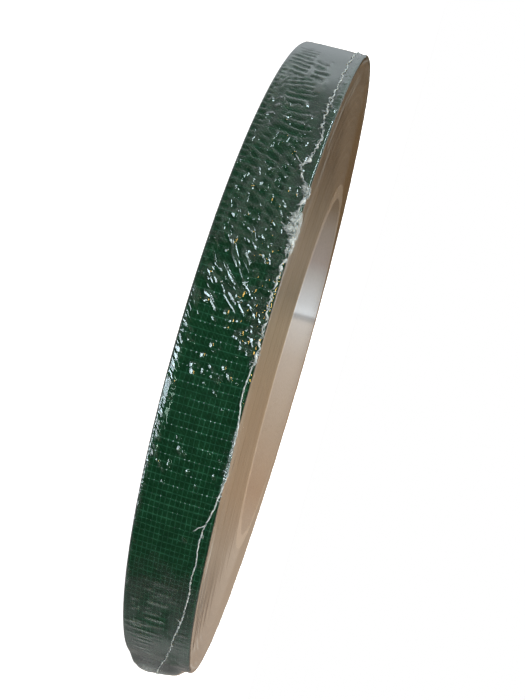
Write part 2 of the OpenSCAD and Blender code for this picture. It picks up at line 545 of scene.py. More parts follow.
def haze_and_sheen_at(s):
    """How much the film is clouded on every column: along its crests, and a little where it is loose. This
    is partly painted sheen, a pale diffuse layer that stands in for reflections: strongest on crests
    outside t -38 to 30 and from t 38 to 62, and on bunched film.
    """
    # painted sheen in part: crests are made paler outside t -38 to 30 and from t 38 to 62, and bunched film
    # paler too, in place of their reflections
    milk_and_sheen = 0.025 + 0.23 * (1 - zone(T_COLS, (-38, 30), 5)) + 0.5 * zone(T_COLS, (38, 62), 4)
    bunched_milk_and_sheen = 0.30 * smoothstep(on_columns(lift, s), 0.8, 2.2)
    crests = np.clip(on_columns(sharp, s) - 0.06, 0, 0.3)
    return milk_and_sheen * crests + 0.014 * (1 - on_columns(touch, s)) + bunched_milk_and_sheen


# ---- the weld's route

WELD_ROUTE = [
    (-170, 8.2), (-140, 9.4), (-110, 10.2), (-80, 10.4), (-62, 10.3), (-55, 10.45), (-46, 10.5),
    (-36, 10.55), (-31, 11.1), (-29.5, 11.0), (-28, 10.8), (-26, 9.9), (-24.6, 10.3), (-22.8, 12.0),
    (-20, 11.6), (-17, 11.8), (-8, 11.6), (1, 11.8), (3.7, 11.5), (10, 12.1), (16, 12.1), (20, 11.7),
    (23, 10.9), (30, 10.7), (38, 10.5), (43, 10.0), (47, 9.2), (52, 8.7), (57, 7.9), (68, 5.8),
    (85, 5.0), (110, 5.2), (140, 7.0), (165, 7.6),
]
# Short side branches of the weld: t span and s span
WELD_BRANCHES = [
    ((22.9, 24.3), (10.9, 9.3)), ((-27.6, -26.2), (8.4, 10.0)), ((-40.5, -38.6), (10.6, 10.9)),
]


def weld_s(t_deg):
    return through(WELD_ROUTE, wrap_deg(t_deg))


# ---- the film's two webs

BAND_R = FILM_R - 0.04  # the film where it lies on the tape
CORNER = 0.45  # how tightly it turns round a rim
TOP_Z = ROLL_H - 0.04
LOW_Z = 0.03
LEAST_Z = 0.004  # the film's wrinkles never reach below this
LEVEL_R = WINDING_R - 6 * TAPE_T


def stitch(first, count, inner_first, inner_count, flip):
    """Faces between one ring of points and the next, which has as many points or half as many."""
    faces = []
    if count == inner_count:
        for i in range(count):
            j = (i + 1) % count
            faces.append((first + i, first + j, inner_first + j, inner_first + i))
    else:
        for i in range(inner_count):
            a, b, c = first + 2 * i, first + 2 * i + 1, first + (2 * i + 2) % count
            d, e = inner_first + i, inner_first + (i + 1) % inner_count
            faces += [(a, b, d), (b, c, e, d)]
    return [f[::-1] for f in faces] if flip else faces


def ring_stack(name, rings, haze_and_sheen, touching, flip):
    """A mesh from rings of points, the last of them closed with one centre point."""
    points, faces, starts, total = [], [], [], 0
    layers = {"haze_and_sheen": [], "touch": []}
    for ring, *values in zip(rings, haze_and_sheen, touching):
        starts.append(total)
        points.append(ring)
        for rows, value in zip(layers.values(), values):
            rows.append(np.broadcast_to(value, (COLUMNS,))[:: COLUMNS // len(ring)])
        total += len(ring)
    for k in range(len(rings) - 1):
        faces += stitch(starts[k], len(rings[k]), starts[k + 1], len(rings[k + 1]), flip)
    last, count = starts[-1], len(rings[-1])
    points.append(rings[-1].mean(0, keepdims=True))
    for i in range(count):
        face = (last + i, last + (i + 1) % count, total)
        faces.append(face[::-1] if flip else face)
    piece = new_mesh(name, np.concatenate(points), faces)
    for label, rows in layers.items():
        attribute(piece, label, np.concatenate([*rows, rows[-1][:1]]))
    return piece


def dish_z(r):
    """How far the dish lifts the winding there."""
    return DISH * np.clip((LEVEL_R - r) / (LEVEL_R - CORE_R), 0, 1)


def flank_rings(upper, radii):
    """Rings across a flank and how clouded they are: bunched near the rim, with a few streaks elsewhere.
    These pale streaks and rim patches are partly painted sheen, standing in for reflections in the film's
    fine wrinkles.
    """
    rings, haze_and_sheen = [], []
    drift = ring_noise(np.random.default_rng(21 if upper else 22), T_COLS, 10, 2, 16)
    for r in radii:
        z = LOW_Z
        if upper:
            fold = on_columns(lift, TAPE_W + BAND_R - r) * (1 - smoothstep(BAND_R - r, 1.0, 4.5))
            z = TOP_Z + dish_z(r) + fold
        over_tape = smoothstep(r, CORE_R, CORE_R + 2)
        near_rim = smoothstep(r, ROLL_R - 9, ROLL_R - 2)
        streak = gradient_noise(ARC_COLS / 22 + 0.2 * r, np.full(COLUMNS, r * 1.9 + 7), 19, 24)
        fine = gradient_noise(ARC_COLS / 9 - 0.35 * r, np.full(COLUMNS, r * 4.1 + 3), 46, 25)
        # long pleats that leave the rim at a slant, towards the lower end of the view
        pleat = gradient_noise(ARC_COLS / 26, (r - 0.2 * ARC_COLS) * 1.3 + 60, 16, 26)
        ripple = (0.006 + 0.013 * near_rim) * (streak + 0.6 * fine + 0.2 * drift)
        ripple = (ripple + 0.028 * pleat * zone(T_COLS, (12, 82), 8)) * over_tape * (1 if upper else 0.5)
        rings.append(at(T_COLS, r, np.maximum(z + ripple, LEAST_Z)))
        # painted sheen in part: the pale streaks and rim patches below stand in for the wrinkles'
        # reflections
        cloudy = streak + 0.5 * fine
        over_bore = 0.035 * (1 - over_tape) * smoothstep(cloudy, 0.15, 0.5)
        rim_milk_and_sheen = over_tape * (0.02 + 0.30 * near_rim) * smoothstep(cloudy, 0.12, 0.45)
        haze_and_sheen.append(0.004 + over_bore + rim_milk_and_sheen)
    return rings, haze_and_sheen


def thin_out(rings, spacing):
    """Drops every second point of a ring while its points are closer together than the spacing."""
    out, every = [], 1
    for ring in rings:
        r = float(np.linalg.norm(ring[0, :2])) / MM
        if every < 32 and 2 * math.pi * r * every / COLUMNS < spacing(r):
            every *= 2
        out.append(ring[::every])
    return out


def corner_ring(upper, turn, rise):
    """A ring where the film turns round a rim. turn runs from 0, on the band, to 1, on the flank."""
    a = turn * math.pi / 2
    r = BAND_R - CORNER + (CORNER + rise) * math.cos(a)
    if upper:
        z = TOP_Z - CORNER + (CORNER + rise) * math.sin(a)
    else:
        z = LOW_Z + CORNER - CORNER * math.sin(a)
    return at(T_COLS, r, np.maximum(z, LEAST_Z))


def web(name, upper, band_rows, radii, spacing):
    """A web of film: along the band from the weld to a rim, round the rim, and across the flank."""
    weld = weld_s(T_COLS)
    band_end = np.maximum(ROLL_H - CORNER, weld + 0.15) if upper else CORNER
    rings, haze_and_sheen, touching = [], [], []
    for k in range(band_rows + 1):
        s = weld + (band_end - weld) * k / band_rows
        rings.append(at(T_COLS, BAND_R + on_columns(lift, s), s))
        haze_and_sheen.append(haze_and_sheen_at(s))
        touching.append(on_columns(touch, s))
    for turn in (0.2, 0.4, 0.6, 0.8, 1.0):
        s = (ROLL_H if upper else 0) + (-CORNER if upper else CORNER) * (1 - turn)
        rings.append(corner_ring(upper, turn, on_columns(lift, s)))
        haze_and_sheen.append(haze_and_sheen_at(s))
    flank, cloud = flank_rings(upper, radii)
    rings = thin_out(rings + flank, spacing)
    haze_and_sheen += cloud
    touching += [0.0] * (len(haze_and_sheen) - len(touching))
    return ring_stack(name, rings, haze_and_sheen, touching, flip=not upper)


lower_film = web(
    "film_lower_web_skin", False, 132,
    np.concatenate([BAND_R - CORNER - np.array([0.4, 1, 2, 3.5]), np.linspace(BAND_R - 6, 4, 16)]),
    lambda r: 0.35 if r > BAND_R - CORNER - 0.5 else 2.0)
upper_film = web(
    "film_upper_web_skin", True, 14,
    np.concatenate([BAND_R - CORNER - np.arange(0.3, 4.6, 0.3),
                    np.linspace(BAND_R - CORNER - 5, CORE_R + 0.5, 52),
                    np.linspace(CORE_R, BORE_R, 5), np.linspace(BORE_R - 1.5, 2, 22)]),
    lambda r: 0.35 if r > BAND_R - 4 else 0.5 if r > BORE_R else 1.0)


# ---- the weld bead


WELD_KNOTS, WELD_STRANDS = 90, 170


def unit(vectors):
    return vectors / (np.linalg.norm(vectors, axis=1, keepdims=True) + 1e-12)


def tube_along(path, radius, sides):
    """Points and faces of a tube along a path, whose radius may change along it."""
    tangent = unit(np.gradient(path, axis=0))
    side = unit(np.cross(tangent, unit(path * np.array([1, 1, 0]))))
    out = np.cross(side, tangent)
    a = np.linspace(0, 2 * np.pi, sides, endpoint=False)[None, :, None]
    points = path[:, None, :] + radius[:, None, None] * (
        np.cos(a) * out[:, None, :] + np.sin(a) * side[:, None, :])
    last = (len(path) - 1) * sides
    ends = [tuple(range(sides))[::-1], tuple(last + j for j in range(sides))]
    return points.reshape(-1, 3), quads(len(path), sides, ring=True) + ends


def surface_point(t_deg, s, proud):
    """A point a little proud of the film, on the band or, past the upper rim, on the flank."""
    t_deg, s, proud = np.broadcast_arrays(t_deg, s, proud)
    past = np.clip(s - (ROLL_H - CORNER), 0, None)
    bend = np.clip(past / CORNER, 0, math.pi / 2)
    beyond = np.clip(past - CORNER * math.pi / 2, 0, None)
    r = BAND_R - CORNER + (CORNER + proud) * np.cos(bend) - beyond
    return at(t_deg, r, np.minimum(s, ROLL_H - CORNER) + (CORNER + proud) * np.sin(bend))


def weld_line(rng):
    """The bead itself, which wanders round the weld's route and has knots in it."""
    t = np.concatenate([np.linspace(-180, -80, 500), np.linspace(-80, 80, 3400)[1:-1],
                        np.linspace(80, 180, 500)])

    def swing(low, high):
        return ring_noise(rng, t, 26, low, high)

    lumpy = zone(t, (-41, 0), 3) * 0.9 + zone(t, (-76, -41), 3) * 0.35 + 0.25
    wiggle = lumpy * (0.10 * swing(60, 240) + 0.07 * swing(240, 620)) + 0.05 * swing(20, 90)
    proud = 0.10 + 0.06 * lumpy * swing(90, 420)
    thick = 0.078 + 0.030 * zone(t, (-84, 62), 6) + 0.045 * lumpy * swing(60, 360)
    knots = np.zeros(len(t))
    for _ in range(WELD_KNOTS):
        centre = rng.uniform(-180, 180)
        size = rng.uniform(0.03, 0.16) * (1.6 if -42 < centre < 1 else 0.8)
        knots += size * np.exp(-((wrap_deg(t - centre) / rng.uniform(0.12, 0.4)) ** 2))
    base = lift_at(t, weld_s(t))
    path = surface_point(t, weld_s(t) + wiggle, base + np.clip(proud, 0.02, 0.4))
    return tube_along(path, np.clip(thick + knots * 0.6, 0.045, 0.3) * MM, 6)


def weld_strand(rng):
    """A stray strand of melted film beside the bead."""
    t0 = rng.uniform(-180, 180) if rng.random() < 0.45 else rng.uniform(-42, 1)
    reach = rng.uniform(0.3, 1.2)
    heading = rng.uniform(0, 2 * math.pi)
    u = np.linspace(0, 1, 7)
    t = t0 + np.degrees(reach / FILM_R) * math.cos(heading) * u
    s = weld_s(t0) + reach * 0.6 * math.sin(heading) * u + 0.1 * np.sin(5 * u)
    path = surface_point(t, s, lift_at(t, s) + 0.06 + 0.12 * np.sin(3 * u))
    return tube_along(path, (0.05 * (1 - u) + 0.02) * MM, 5)


def weld_branch(t_span, s_span):
    u = np.linspace(0, 1, 30)
    t = t_span[0] + (t_span[1] - t_span[0]) * u
    s = s_span[0] + (s_span[1] - s_span[0]) * u + 0.08 * np.sin(9 * u)
    return tube_along(surface_point(t, s, lift_at(t, s) + 0.08), (0.09 - 0.03 * u) * MM, 6)


def weld_bead():
    rng = np.random.default_rng(31)
    parts = [weld_line(rng)] + [weld_strand(rng) for _ in range(WELD_STRANDS)]
    return joined("film_weld_bead_melted", parts + [weld_branch(*spans) for spans in WELD_BRANCHES])


def scrap(name, seed, crumple, proud, outline):
    """A thin scrap of torn film between two ragged edges. outline has rows of t, low s and high s."""
    rng = np.random.default_rng(seed)
    stations = np.array(outline, float)
    nu, nv = 26 * (len(stations) - 1), 26
    place = np.linspace(0, len(stations) - 1, nu)
    t, low, high = (np.interp(place, np.arange(len(stations)), column) for column in stations.T)
    for edge in (low, high):
        for waves, size in ((7, 0.16), (17, 0.10), (37, 0.07)):
            ragged = np.sin(place / place[-1] * waves * 2 * math.pi + rng.uniform(0, 6))
            edge += size * ragged * (high - low).clip(0, 1.5)
    v = np.linspace(0, 1, nv)[None, :]
    s = low[:, None] * (1 - v) + high[:, None] * v
    t = t[:, None] + 0.10 * np.sin(5 * v + rng.uniform(0, 6)) + 0 * s
    rise = np.full(s.shape, proud)
    arc = np.radians(t) * FILM_R
    for _ in range(22):
        a, b, c = rng.uniform(1.5, 9), rng.uniform(-9, 9), rng.uniform(0, 6)
        rise += crumple * np.sin(a * arc + b * s + c)
    points = surface_point(t, s, lift_at(t, s) * 0.5 + np.clip(rise, 0.03, 1.0))
    return new_mesh(name, points, quads(nu, nv))


bead = weld_bead()
flaps = [
    scrap("film_torn_flap", 41, 0.013, 0.22, [
        (-19.3, 11.2, 12.2), (-18.6, 10.6, 13.7), (-17.6, 10.8, 14.3), (-16.4, 11.1, 14.0),
        (-15.4, 11.5, 13.4), (-14.4, 11.7, 12.9), (-13.4, 11.9, 12.4)]),
    scrap("film_torn_tip", 42, 0.013, 0.15, [
        (-23.6, 11.3, 11.6), (-22.9, 11.0, 12.5), (-22.2, 11.2, 12.7), (-21.4, 11.6, 12.2)]),
    scrap("film_torn_point", 43, 0.015, 0.16, [
        (-17.2, 9.6, 9.9), (-16.9, 9.9, 10.9), (-16.3, 10.4, 11.8), (-15.6, 11.2, 11.9)]),
]


# ---- the cloth tape

WEFT_PITCH = 1.13  # between the threads that cross the tape
WEFT_SAG = 0.10  # how far those threads bow, along the tape
WARP_PITCH = 0.71  # between the threads that run along it
DOME_PITCH = 0.64  # between the tiny domes of the coating
WARP_COUNT = int(TAPE_W / WARP_PITCH)
WARP_Z = RIM_LOW + (np.arange(WARP_COUNT) + 0.5) * TAPE_W / WARP_COUNT
CLOTH_START, CLOTH_END = TAIL_T - 360 + 0.3, TAIL_T - 3  # the outer turn, as angles t


def outer_r(t_deg):
    """Radius of the outer turn, which grows by one tape thickness from its start to its free end."""
    turned = (wrap_deg(t_deg) - TAIL_T) % 360 / 360
    return ROLL_R - TAPE_T * (1 - turned)


def thread(path_t, path_z, width, height):
    """Points and faces of a low half-round thread that lies on the outer turn."""
    path_t, path_z = np.broadcast_arrays(path_t, path_z)
    along = unit(np.stack([np.gradient(np.radians(path_t)) * FILM_R, np.gradient(path_z)], -1))
    profile = ((-1, -0.01), (-0.5, 0.75 * height), (0, height), (0.5, 0.75 * height), (1, -0.01))
    points = []
    for offset, rise in profile:
        t = path_t + np.degrees(-along[:, 1] * offset * width / 2 / FILM_R)
        z = path_z + along[:, 0] * offset * width / 2
        points.append(at(t, outer_r(path_t) + rise, z))
    return np.concatenate(points), quads(len(profile), len(path_t))


def knuckle(t0, z0, radius, height):
    """A low dome of coating where two threads cross."""
    a = np.arange(6) * math.pi / 3
    rings = [at(t0, outer_r(t0) + height, z0).reshape(1, 3)]
    for share, rise in ((0.6, 0.88), (1.0, 0.55)):
        t = t0 + np.degrees(radius * share * np.cos(a) / FILM_R)
        rings.append(at(t, outer_r(t0) + height * rise, z0 + radius * share * np.sin(a)))
    faces = [(0, 1 + k, 1 + (k + 1) % 6) for k in range(6)]
    faces += [(1 + k, 7 + k, 7 + (k + 1) % 6, 1 + (k + 1) % 6) for k in range(6)]
    return np.concatenate(rings), faces


def warp_threads(rng):
    t = np.linspace(CLOTH_START, CLOTH_END, 900)
    return [thread(t, z0 + 0.035 * ring_noise(rng, t, 10, 6, 90),
                   rng.uniform(0.12, 0.19), rng.uniform(0.018, 0.034)) for z0 in WARP_Z]


def weft_threads(rng):
    """The threads that cross the tape, and the domes of coating on every second one of them."""
    wefts, knuckles = [], []
    z = np.linspace(RIM_LOW + 0.04, RIM_TOP - 0.04, 26)
    count = int(np.radians(CLOTH_END - CLOTH_START) * FILM_R / WEFT_PITCH)
    middles = CLOTH_START + (CLOTH_END - CLOTH_START) * (np.arange(count) + 0.5) / count
    for k, t0 in enumerate(middles + rng.normal(0, 0.05, count)):
        bow = WEFT_SAG * np.sin(np.pi * (z - RIM_LOW) / TAPE_W)
        bow += 0.05 * gradient_noise(z / 1.9, np.full(len(z), 3.3 * k), 40, 52)
        wefts.append(thread(t0 + np.degrees(bow / FILM_R), z,
                            rng.uniform(0.16, 0.30), rng.uniform(0.03, 0.05)))
        if k % 2:
            for z0 in WARP_Z + rng.normal(0, 0.03, WARP_COUNT):
                here = t0 + np.degrees(WEFT_SAG * np.sin(np.pi * (z0 - RIM_LOW) / TAPE_W) / FILM_R)
                knuckles.append(knuckle(here, z0, 0.13, rng.uniform(0.050, 0.056)))
    return wefts, knuckles


def scrim():
    rng = np.random.default_rng(51)
    warps = warp_threads(rng)
    wefts, knuckles = weft_threads(rng)
    return (joined("tape_scrim_warps", warps), joined("tape_scrim_wefts", wefts),
            joined("tape_scrim_knuckles", knuckles))


def turn_below():
    """The green cloth of the next turn down, which shows where the outer turn ends."""
    rng = np.random.default_rng(62)
    t = np.linspace(TAIL_T - 366, TAIL_T - 354, 160)
    wefts = 0.012 * np.sin(np.radians(t) * FILM_R * 2 * math.pi / WEFT_PITCH)
    grid = []
    for z in np.linspace(RIM_LOW + 0.02, RIM_TOP - 0.02, 60):
        warps = 0.008 * math.sin(z * 2 * math.pi / WARP_PITCH)
        grid.append(at(t, WINDING_R + 0.03 + wefts + warps + rng.normal(0, 0.002, len(t)), z))
    return new_mesh("tape_turn_below", np.stack(grid), quads(len(grid), len(t)))


# ---- the edges of the wound turns


def winding_edges():
    """The winding as a true spiral, two turns of tape at a time, each a little in or out."""
    rng = np.random.default_rng(61)
    per_turn, bundle = 240, 2 * TAPE_T
    turns = int((WINDING_R - CORE_R) / bundle)
    offsets = rng.normal(0, 0.045, turns + 2) + 0.05 * np.sin(np.arange(turns + 2) * 0.35)
    phi = np.arange(turns * per_turn) / per_turn
    step = offsets[np.floor(phi).astype(int)] * 0.5 - 0.06
    corners = []
    for share, rim_z, out in (
            (0.06, RIM_TOP, 1), (0.94, RIM_TOP, 1), (0.94, RIM_LOW, -1), (0.06, RIM_LOW, -1)):
        r = CORE_R + bundle * np.clip(phi - 1 + share, 0, None)
        corners.append(at(phi * 360 + TAIL_T, r, rim_z + dish_z(r) + out * step))
    n = len(phi)

    def strip(first, count, a, b, shift=0):
        """Faces from corner a of each cross-section to corner b of the one that many places on."""
        return [(4 * i + a, 4 * (i + shift) + b, 4 * (i + shift + 1) + b, 4 * (i + 1) + a)
                for i in range(first, first + count)]

    faces = strip(0, n - 1, 0, 1) + strip(0, n - 1, 2, 3)
    faces += strip(0, n - per_turn - 1, 1, 0, per_turn) + strip(per_turn, n - per_turn - 1, 3, 2, -per_turn)
    faces += strip(0, per_turn - 1, 3, 0) + strip(n - per_turn, per_turn - 1, 1, 2)
    return new_mesh("tape_wound_edges", np.stack(corners, 1), faces, smooth=False)


scrim_warps, scrim_wefts, scrim_knuckles = scrim()
wound_edges = winding_edges()
under_turn = turn_below()


# ---- materials


class Nodes:
    """A material's or world's node tree, written one node at a time."""

    def __init__(self, tree):
        self.tree = tree
        tree.nodes.clear()

    def add(self, kind, _out=0, _props=None, **inputs):
        """Adds a node. An input's key is its name, or i and its number."""
        node = self.tree.nodes.new("ShaderNode" + kind)
        for key, value in (_props or {}).items():
            setattr(node, key, value)
        for key, value in inputs.items():
            socket = node.inputs[int(key[1:]) if key[1:].isdigit() else key]
            if isinstance(value, bpy.types.NodeSocket):
                self.tree.links.new(value, socket)
            else:
                socket.default_value = value
        return node.outputs[_out]

    def math(self, operation, a, b=0.0):
        return self.add("Math", 0, {"operation": operation}, i0=a, i1=b)

    def plus(self, a, b):
        return self.math("ADD", a, b)

    def times(self, a, b):
        return self.math("MULTIPLY", a, b)

    def vector(self, operation, a, _out=0, **inputs):
        return self.add("VectorMath", _out, {"operation": operation}, i0=a, **inputs)

    def mix(self, factor, a, b):
        return self.add("Mix", 2, {"data_type": "RGBA"}, Factor=factor, i6=a, i7=b)

    def here(self):
        return self.add("TexCoord", 3)

    def split(self, vector):
        return self.add("SeparateXYZ", i0=vector).node.outputs

    def noise(self, where, scale, detail, roughness=0.5):
        return self.add("TexNoise", Vector=where, Scale=scale, Detail=detail, Roughness=roughness)

    def rings(self, radius, scale, detail, roughness):
        return self.add("TexNoise", 0, {"noise_dimensions": "1D"}, W=radius, Scale=scale, Detail=detail,
                        Roughness=roughness)

    def bump(self, height, strength, distance):
        return self.add("Bump", Height=height, Strength=strength, Distance=distance)

    def solid(self, colour, roughness, bump, shine=0.5, index=1.5):
        return self.add("BsdfPrincipled", **{"Base Color": colour, "Roughness": roughness, "Normal": bump,
                                             "Specular IOR Level": shine, "IOR": index})

    def ramp(self, value, stops):
        output = self.add("ValToRGB", i0=value)
        elements = output.node.color_ramp.elements
        while len(elements) < len(stops):
            elements.new(0.5)
        for element, (place, colour) in zip(elements, stops):
            element.position = place
            element.color = (*colour, 1)
        return output

    def finish(self, shader, kind="Material"):
        output = self.tree.nodes.new("ShaderNodeOutput" + kind)
        self.tree.links.new(shader, output.inputs["Surface"])


def material(name):
    made = bpy.data.materials.new(name)
    made.use_nodes = True
    return made, Nodes(made.node_tree)


def dress(piece, made):
    piece.data.materials.clear()
    piece.data.materials.append(made)


def film_material():
    """Clear film: it passes light straight through, and reflects it as two close faces do."""
    made, n = material("clear shrink film")
    bump = n.bump(n.noise(n.here(), 1500.0, 2.0), 0.12, 0.00003)
    one_face = n.add("Fresnel", IOR=1.5, Normal=bump)
    two_faces = n.math("DIVIDE", n.times(one_face, 2.0), n.plus(one_face, 1.0))
    touching = n.add("Attribute", 2, {"attribute_name": "touch"})
    share = n.times(two_faces, n.math("SUBTRACT", 1.0, n.times(touching, 0.5)))
    # this layer is partly painted sheen: the pale diffuse film it mixes in stands in for reflections on
    # crests and on loose film
    milk_and_sheen_share = n.add("Attribute", 2, {"attribute_name": "haze_and_sheen"})
    clear = n.add("BsdfTransparent", Color=(0.98, 0.985, 0.985, 1))
    gloss = n.add("BsdfAnisotropic", Color=(1, 1, 1, 1), Roughness=0.02, Normal=bump)
    cloud = n.add("BsdfDiffuse", Color=(0.70, 0.77, 0.77, 1), Normal=bump)
    body = n.add("MixShader", Fac=milk_and_sheen_share, i1=clear, i2=cloud)
    n.finish(n.add("MixShader", Fac=share, i1=body, i2=gloss))
    return made


def melted_material(name, thin, thick):
    """Film that melted and set: cloudy, with clearer spots."""
    made, n = material(name)
    cloud = n.noise(n.here(), 1300.0, 4.0)
    shade = n.ramp(cloud, [(0.3, (0.20, 0.24, 0.25)), (0.7, (0.42, 0.47, 0.49))])
    share = n.ramp(cloud, [(0.35, (thin,) * 3), (0.65, (thick,) * 3)])
    solid = n.solid(shade, 0.2, n.bump(cloud, 0.35, 0.0002))
    n.finish(n.add("MixShader", Fac=share, i1=n.add("BsdfTransparent"), i2=solid))
    return made


def round_and_up(n):
    """Where a point is, and its arc length round the roll, height and radius in mm, as shader values."""
    where = n.here()
    x, y, z = n.split(where)
    arc = n.times(n.math("ARCTAN2", x, n.times(y, -1.0)), FILM_R)
    radius = n.math("SQRT", n.plus(n.math("POWER", x, 2.0), n.math("POWER", y, 2.0)))
    return where, arc, n.times(z, 1 / MM), n.times(radius, 1 / MM)


def cloth_material(name, low, high, roughness, shine=0.10, index=1.5):
    """Green coated cloth: tiny domes of coating in the mesh, and uneven dye."""
    made, n = material(name)
    where, arc, up, _ = round_and_up(n)
    dye = n.ramp(n.noise(where, 700.0, 5.0, 0.7), [(0.36, (0, 0, 0)), (0.64, (1, 1, 1))])
    waves = [n.math("SINE", n.times(v, 2 * math.pi / DOME_PITCH)) for v in (arc, up)]
    domes = n.times(n.times(*waves), 0.5)
    bump = n.bump(n.plus(domes, n.noise(where, 3000.0, 3.0)), 0.45, 0.00006)
    colour = n.mix(dye, (*low, 1), (*high, 1))
    n.finish(n.solid(colour, roughness, bump, shine, index))
    return made


def edges_material():
    """The cut edges of the wound turns: fine rings of adhesive, cloth and a little green."""
    made, n = material("wound tape edges")
    where, _, _, radius = round_and_up(n)
    rings = n.rings(radius, 7.0, 6.0, 0.75)
    layers = (rings, 0.50), (n.noise(where, 90.0, 5.0), 0.14), (n.rings(radius, 0.9, 3.0, 0.6), 0.36)
    mixed = 0.0
    for layer, share in layers:
        mixed = n.plus(n.times(layer, share), mixed)
    colour = n.ramp(mixed, [(0.30, (0.06, 0.048, 0.032)), (0.46, (0.15, 0.112, 0.072)),
                            (0.56, (0.23, 0.175, 0.12)), (0.72, (0.34, 0.28, 0.21))])
    height = n.plus(n.times(rings, 2.0), n.noise(where, 1800.0, 3.0))
    n.finish(n.solid(colour, 0.75, n.bump(height, 0.5, 0.0002)))
    return made


def board_material():
    """Grey-brown core board, with fibres that lie along the strip."""
    made, n = material("core board")
    where, arc, up, radius = round_and_up(n)
    along = n.add("CombineXYZ", X=n.times(arc, 0.25), Y=n.times(up, 2.0),
                  Z=n.times(radius, 6.0))
    fibre = n.noise(along, 2.2, 6.0, 0.7)
    speck = n.noise(where, 2400.0, 2.0)
    colour = n.ramp(n.plus(n.times(fibre, 0.8), n.times(speck, 0.2)),
                    [(0.32, (0.30, 0.24, 0.17)), (0.5, (0.46, 0.38, 0.29)), (0.68, (0.60, 0.53, 0.43))])
    n.finish(n.solid(colour, 0.85, n.bump(fibre, 0.5, 0.00015)))
    return made


clear_film = film_material()
melted_film = melted_material("melted film bead", 0.40, 0.85)
torn_film = melted_material("torn film", 0.22, 0.62)
tape_green = cloth_material("green coated cloth", (0.0016, 0.022, 0.0080), (0.0032, 0.034, 0.013), 0.42)
thread_green = cloth_material("green scrim thread", (0.0042, 0.034, 0.016), (0.015, 0.078, 0.043), 0.42)
dome_green = cloth_material("green coating dome", (0.0045, 0.050, 0.020), (0.012, 0.090, 0.045),
                            0.12, 0.5, 2.4)
wound_tan = edges_material()
core_board = board_material()

# Each piece with its material and its colour slot
LOOKS = [
    (lower_film, clear_film, "clear_film"),
    (upper_film, clear_film, "clear_film"),
    (bead, melted_film, "melted_film"),
    *((flap, torn_film, "melted_film") for flap in flaps),
    (scrim_warps, thread_green, "tape_cloth"),
    (scrim_wefts, thread_green, "tape_cloth"),
    (scrim_knuckles, dome_green, "tape_cloth"),
    (under_turn, thread_green, "tape_cloth"),
    (wound_edges, wound_tan, "tape_edges"),
]
for piece, made, slot in LOOKS:
    dress(piece, made)
    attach(piece, "root")
dress(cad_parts["tape_outer_turn"], tape_green)
for k in range(1, 6):
    dress(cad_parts[f"core_ply_{k}"], core_board)

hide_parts("film_lower_web")
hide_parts("film_upper_web")
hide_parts("film_weld_bead")
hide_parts("tape_winding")


# ---- the studio's light

# Soft light round the studio: azimuth from the camera's side (-Y) towards +X, colour and strength
AROUND = [
    (-180, (1.0, 0.90, 0.80), 0.22), (-162, (0.93, 0.96, 1.0), 0.31), (-148, (0.88, 0.96, 1.0), 0.43),
    (-128, (0.88, 0.96, 1.0), 0.63), (-114, (0.88, 0.96, 1.0), 0.95), (-100, (0.88, 0.98, 1.0), 0.42),
    (-86, (0.86, 1.0, 0.98), 0.29), (-72, (0.86, 1.0, 0.98), 0.22), (-58, (0.86, 1.0, 0.98), 0.27),
    (-46, (0.86, 0.97, 1.0), 0.19), (-34, (0.86, 0.97, 1.0), 0.11), (-18, (0.86, 0.97, 1.0), 0.03),
    (0, (0.9, 1.0, 1.0), 0.004), (46, (0.9, 1.0, 1.0), 0.006), (60, (0.92, 1.0, 0.98), 0.025),
    (72, (0.92, 1.0, 0.98), 0.05), (84, (0.86, 1.0, 0.93), 0.066), (96, (0.90, 1.0, 0.95), 0.135),
    (110, (0.90, 1.0, 0.96), 0.175), (122, (0.96, 1.0, 0.98), 0.31), (134, (0.98, 1.0, 0.97), 0.17),
    (156, (1.0, 0.96, 0.92), 0.24), (180, (1.0, 0.90, 0.80), 0.22),
]
FLOOR_GLOW = (0.2992, 0.3332, 0.34, 1)
# What stands behind the roll, as its flank mirrors it at a grazing angle: azimuth from +Y towards +X,
# and its tone. From the horizon up these are BEHIND_FAR, BEHIND_LOW, which the level film mirrors,
# BEHIND_HIGH, which the film on the dish mirrors, and ABOVE_BEHIND.
BEHIND_SPAN = 26
BEHIND_LOW = [
    (-26, (88, 76, 61)), (-11.5, (106, 90, 72)), (-10, (132, 122, 112)), (-7.6, (146, 137, 132)),
    (-5.8, (183, 183, 182)), (-4.5, (204, 207, 209)), (-3.9, (222, 227, 230)), (-3.6, (150, 152, 154)),
    (-3.2, (202, 197, 191)), (-0.5, (187, 174, 161)), (4.6, (175, 156, 137)), (9, (170, 143, 119)),
    (14, (184, 166, 148)), (26, (155, 138, 124)),
]
BEHIND_HIGH = [
    (-26, (62, 50, 36)), (-15, (78, 65, 51)), (-11, (112, 100, 84)), (-8, (130, 118, 102)),
    (-5, (122, 112, 95)), (-2.5, (148, 133, 110)), (4, (158, 135, 109)), (10, (162, 137, 111)),
    (14.5, (160, 143, 125)), (18, (128, 112, 98)), (26, (120, 104, 90)),
]
BEHIND_FAR = [
    (-26, (88, 68, 46)), (-10, (98, 78, 55)), (-4, (128, 108, 88)), (2, (146, 122, 100)),
    (10, (165, 145, 124)), (26, (176, 158, 142)),
]
ABOVE_BEHIND = (74, 62, 50)
BEHIND_GAIN = 1.05  # the film mirrors about four fifths of it
# Small bright lamps and windows: azimuth, elevation, inner and outer angular radius, colour, strength
LAMPS = [
    *((azimuth, height, 3.5, 7, (0.74, 0.92, 1.0), 11.5) for azimuth, height in COOL_STRIP),
    (16, -38, 8, 17, (0.74, 0.91, 1.0), 12.0),
    (44, -52, 8, 22, (0.82, 0.96, 1.0), 6.0),
    (*WARM_LAMP, 8, 13, (1.0, 0.64, 0.16), 13.0),
    (22, 10, 3, 6.5, (0.70, 1.0, 0.85), 6.5),
]


